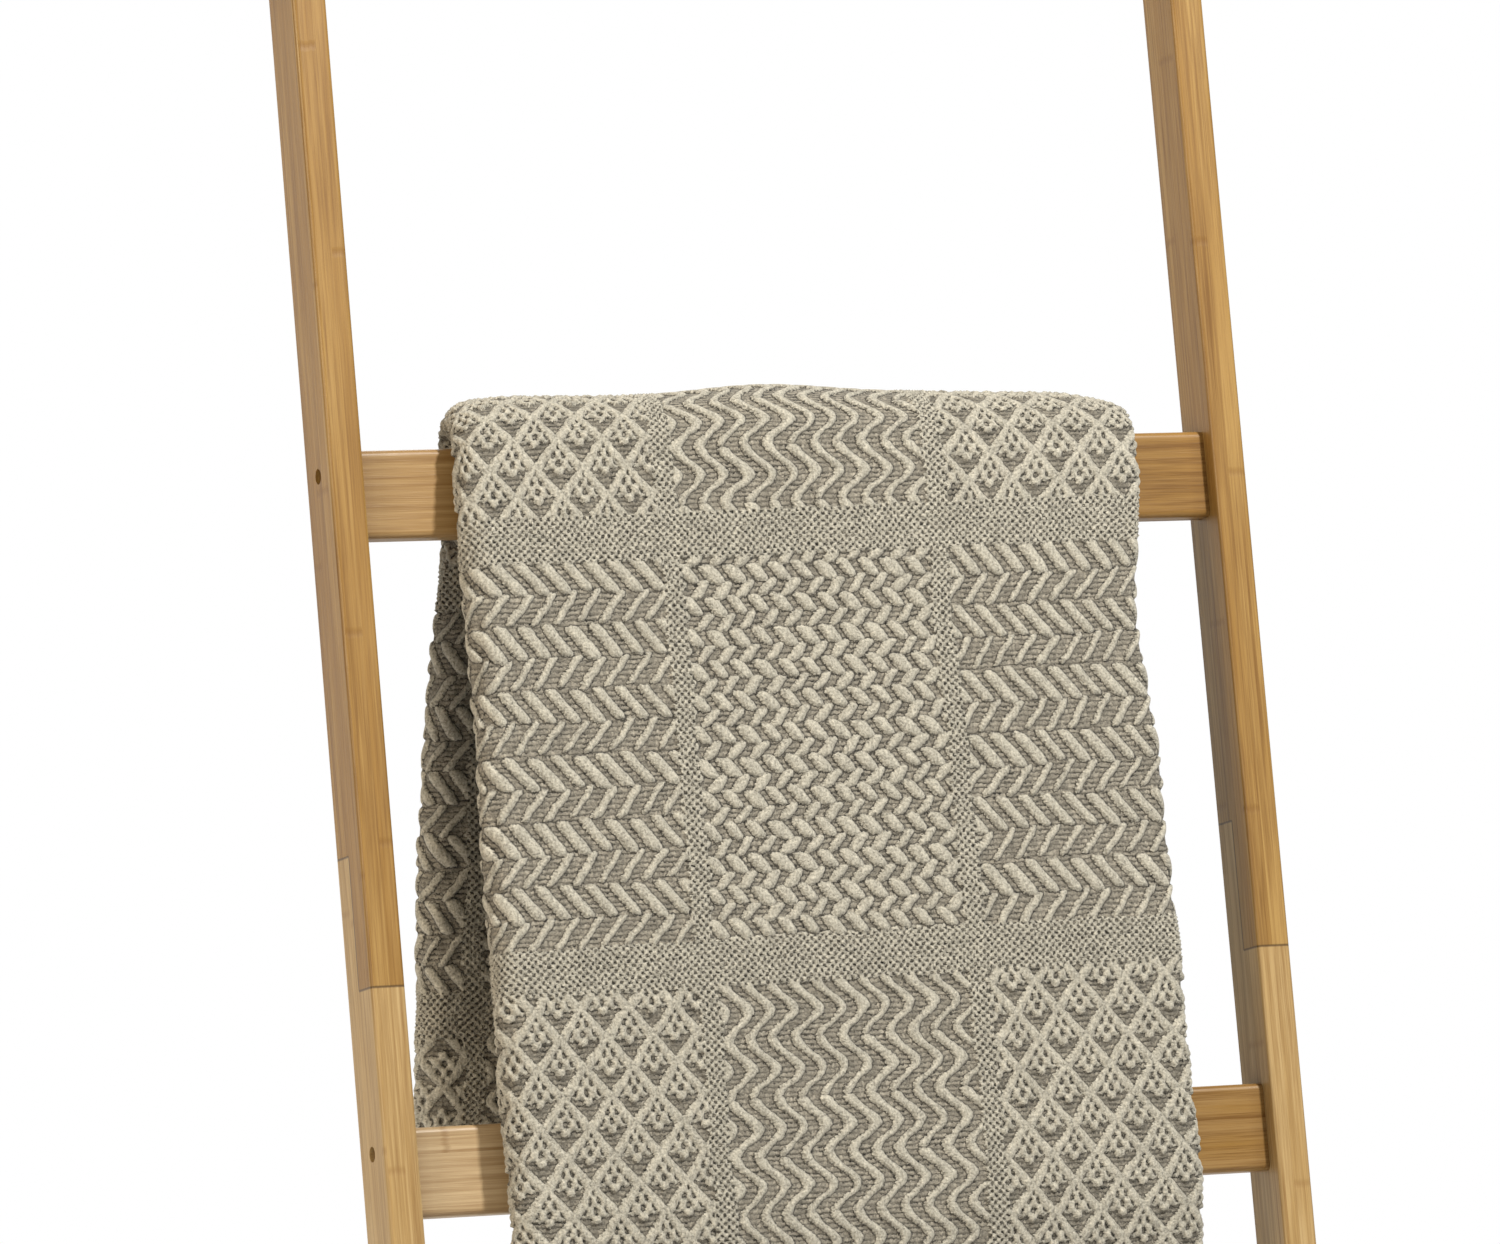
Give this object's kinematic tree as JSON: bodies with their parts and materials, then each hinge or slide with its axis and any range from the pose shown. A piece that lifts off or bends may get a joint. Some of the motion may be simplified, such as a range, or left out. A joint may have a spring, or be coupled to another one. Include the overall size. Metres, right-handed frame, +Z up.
{
  "type": "blanket ladder with a folded throw",
  "caption": "Bamboo ladder rack that leans on a wall, in two bolted halves, with a heavy woven throw folded over a rung, along which it slides.",
  "frame": {"origin": "on the floor, under the middle of the object's bounding box", "axes": "+Z up; X along the rungs; -Y is the side the room sees; the top leans towards +Y, where the wall is"},
  "size_m": [0.45, 0.35, 1.4706],
  "materials": {
    "bamboo_stile": "satin",
    "bamboo_rung": "satin",
    "dowel_beech": "matte",
    "screw_steel": "satin",
    "insert_brass": "satin",
    "pad_rubber": "matte",
    "pad_felt": "matte",
    "throw_cotton": "matte"
  },
  "bodies": {
    "ladder": {"upper_stile_left": "bamboo_stile", "lower_stile_left": "bamboo_stile", "lap_bolts_left": "screw_steel", "lap_inserts_left": "insert_brass", "foot_pad_left": "pad_rubber", "wall_pad_left": "pad_felt", "upper_stile_right": "bamboo_stile", "lower_stile_right": "bamboo_stile", "lap_bolts_right": "screw_steel", "lap_inserts_right": "insert_brass", "foot_pad_right": "pad_rubber", "wall_pad_right": "pad_felt", "rung_1": "bamboo_rung", "rung_1_screws": "screw_steel", "rung_1_dowels": "dowel_beech", "rung_2": "bamboo_rung", "rung_2_screws": "screw_steel", "rung_2_dowels": "dowel_beech", "rung_3": "bamboo_rung", "rung_3_screws": "screw_steel", "rung_3_dowels": "dowel_beech", "rung_4": "bamboo_rung", "rung_4_screws": "screw_steel", "rung_4_dowels": "dowel_beech"},
    "throw": {"folded_throw": "throw_cotton"}
  },
  "joints": [
    {"name": "throw_slide", "type": "slide", "parent": "ladder", "child": "throw", "axis": [1, 0, 0], "range_m": [-0.035, 0.035]}
  ]
}
